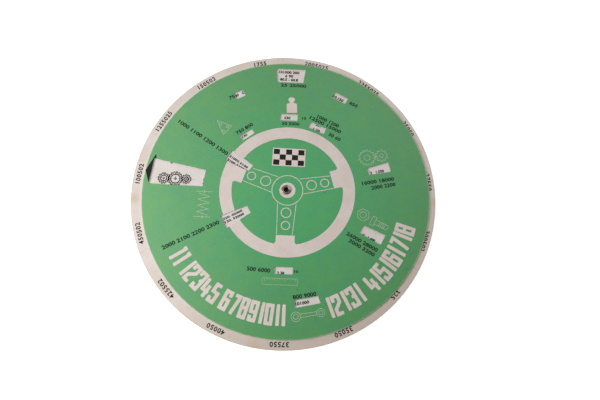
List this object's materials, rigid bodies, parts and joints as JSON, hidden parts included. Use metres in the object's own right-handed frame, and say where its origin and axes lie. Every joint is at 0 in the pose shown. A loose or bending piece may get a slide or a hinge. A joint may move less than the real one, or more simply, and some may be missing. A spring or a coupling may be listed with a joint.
{
  "type": "wheel chart",
  "caption": "Round paper wheel chart: a windowed front dial turns on a metal eyelet over a larger data disc, whose figures show through the windows.",
  "frame": {"origin": "on the eyelet's axis, in the plane of the flat set end behind the data disc", "axes": "+Z along the eyelet's axis towards the front; +Y towards the top window, so the picture window is on the -X side"},
  "size_m": [0.2, 0.2, 0.0021],
  "materials": {
    "data_card": "aged uncoated white card",
    "dial_card": "white card printed green on the front, matte",
    "eyelet_metal": "worn nickel plate"
  },
  "bodies": {
    "base": {"data_disc": "data_card", "eyelet": "eyelet_metal"},
    "dial": {"front_dial": "dial_card"}
  },
  "joints": [
    {"name": "dial_spin", "type": "hinge", "parent": "base", "child": "dial", "pos_m": [0, 0, 0.00113], "axis": [0, 0, 1], "continuous": true}
  ]
}
